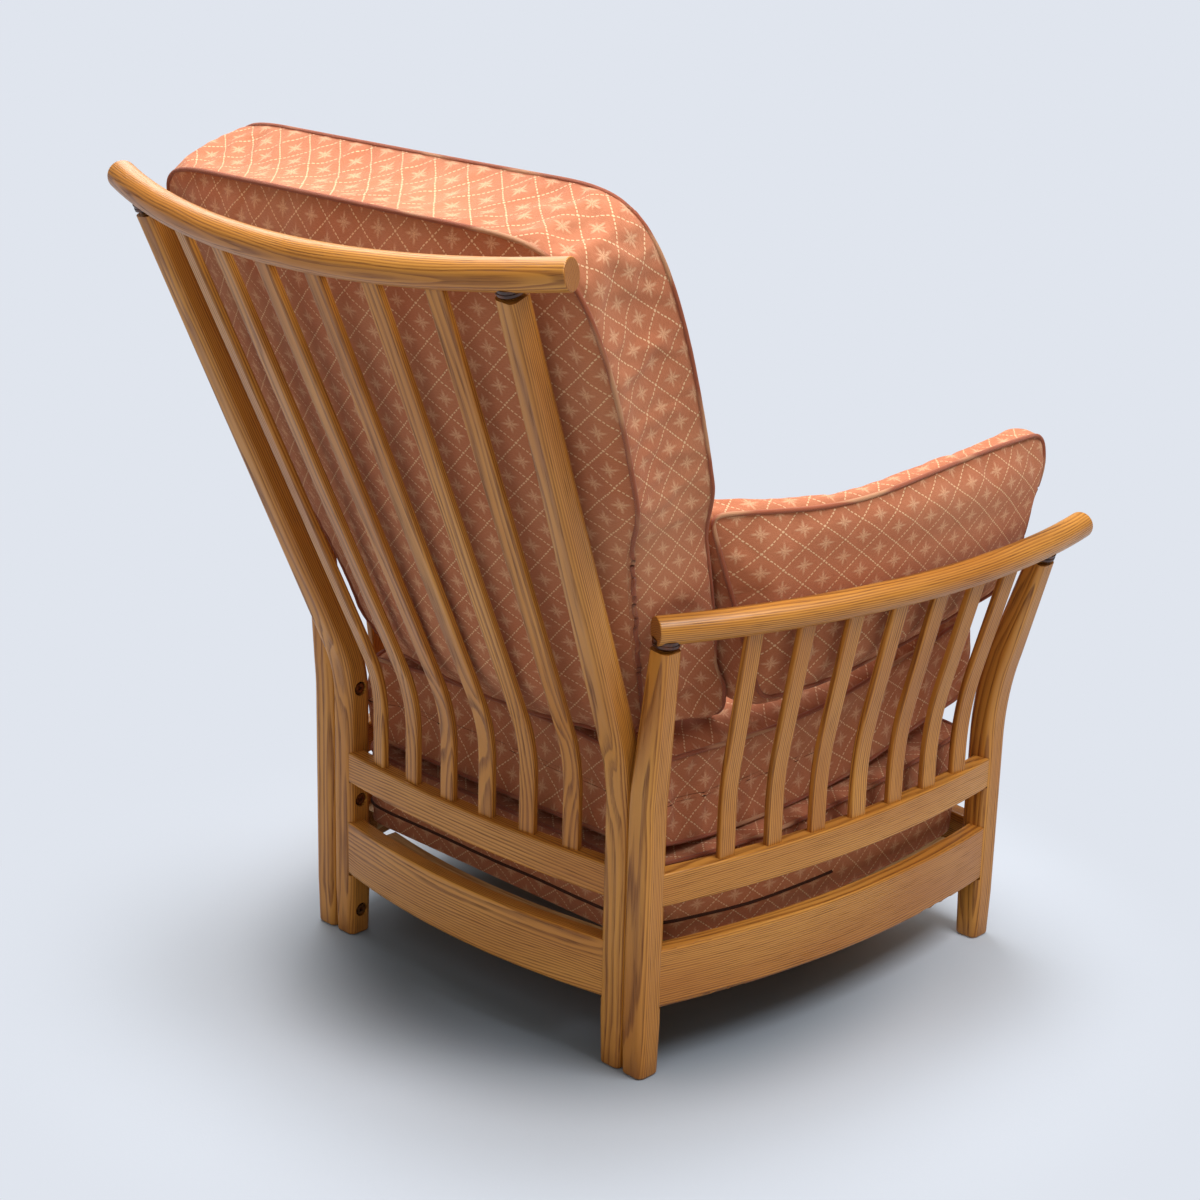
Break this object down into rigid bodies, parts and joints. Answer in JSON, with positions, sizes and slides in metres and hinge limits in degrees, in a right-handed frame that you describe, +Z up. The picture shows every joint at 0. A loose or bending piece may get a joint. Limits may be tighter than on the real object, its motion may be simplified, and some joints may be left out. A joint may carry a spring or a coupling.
{
  "type": "easy chair",
  "caption": "Easy chair with bent bow arms and crest, flat bent spindles, doubled rear posts and loose piped box cushions in a diamond-lattice fabric.",
  "frame": {"origin": "on the floor, under the middle of the chair's outer box", "axes": "+Z up, the sitter faces -Y, +X is the sitter's left"},
  "size_m": [0.8088, 0.9642, 1.0259],
  "materials": {
    "show_wood": "clear satin lacquer over light ash",
    "dark_wood": "dark stained, glossy",
    "plain_wood": "bare sawn timber",
    "steel": "zinc plated",
    "brass": "bright",
    "fabric": "woven terracotta with a pale diamond lattice",
    "filling": "soft foam and wadding",
    "webbing": "woven elastic"
  },
  "bodies": {
    "frame": {"arm_bow_left": "show_wood", "arm_bow_right": "show_wood", "back_lower_rail": "show_wood", "back_mid_rail": "show_wood", "back_post_left": "show_wood", "back_post_right": "show_wood", "back_spindle_1": "show_wood", "back_spindle_2": "show_wood", "back_spindle_3": "show_wood", "back_spindle_4": "show_wood", "back_spindle_5": "show_wood", "back_spindle_6": "show_wood", "bearer_screws": "steel", "bolt_inserts": "brass", "bolt_washers": "steel", "crest_bow": "show_wood", "frame_bolts": "steel", "front_post_left": "show_wood", "front_post_right": "show_wood", "front_rail": "show_wood", "joint_collars": "dark_wood", "rear_post_left": "show_wood", "rear_post_right": "show_wood", "seat_base_cover": "fabric", "seat_base_foam": "filling", "seat_base_frame": "plain_wood", "seat_base_webbing": "webbing", "seat_bearer_left": "plain_wood", "seat_bearer_rear": "plain_wood", "seat_bearer_right": "plain_wood", "side_lower_rail_left": "show_wood", "side_lower_rail_right": "show_wood", "side_mid_rail_left": "show_wood", "side_mid_rail_right": "show_wood", "side_spindle_left_1": "show_wood", "side_spindle_left_2": "show_wood", "side_spindle_left_3": "show_wood", "side_spindle_left_4": "show_wood", "side_spindle_left_5": "show_wood", "side_spindle_left_6": "show_wood", "side_spindle_left_7": "show_wood", "side_spindle_right_1": "show_wood", "side_spindle_right_2": "show_wood", "side_spindle_right_3": "show_wood", "side_spindle_right_4": "show_wood", "side_spindle_right_5": "show_wood", "side_spindle_right_6": "show_wood", "side_spindle_right_7": "show_wood"},
    "arm_cushion_left": {"arm_cushion_left_cover": "fabric", "arm_cushion_left_filling": "filling"},
    "arm_cushion_right": {"arm_cushion_right_cover": "fabric", "arm_cushion_right_filling": "filling"},
    "back_cushion": {"back_cushion_cover": "fabric", "back_cushion_filling": "filling"},
    "seat_cushion": {"seat_cushion_cover": "fabric", "seat_cushion_filling": "filling"}
  },
  "joints": [
    {"name": "seat_cushion_slide", "type": "slide", "parent": "frame", "child": "seat_cushion", "axis": [0, -0.9973, 0.0739], "range_m": [0, 0.3]},
    {"name": "back_cushion_lift", "type": "slide", "parent": "frame", "child": "back_cushion", "axis": [0, 0.3795, 0.9252], "range_m": [0, 0.3]},
    {"name": "arm_cushion_left_lift", "type": "slide", "parent": "frame", "child": "arm_cushion_left", "axis": [0, 0, 1], "range_m": [0, 0.25]},
    {"name": "arm_cushion_right_lift", "type": "slide", "parent": "frame", "child": "arm_cushion_right", "axis": [0, 0, 1], "range_m": [0, 0.25]}
  ]
}
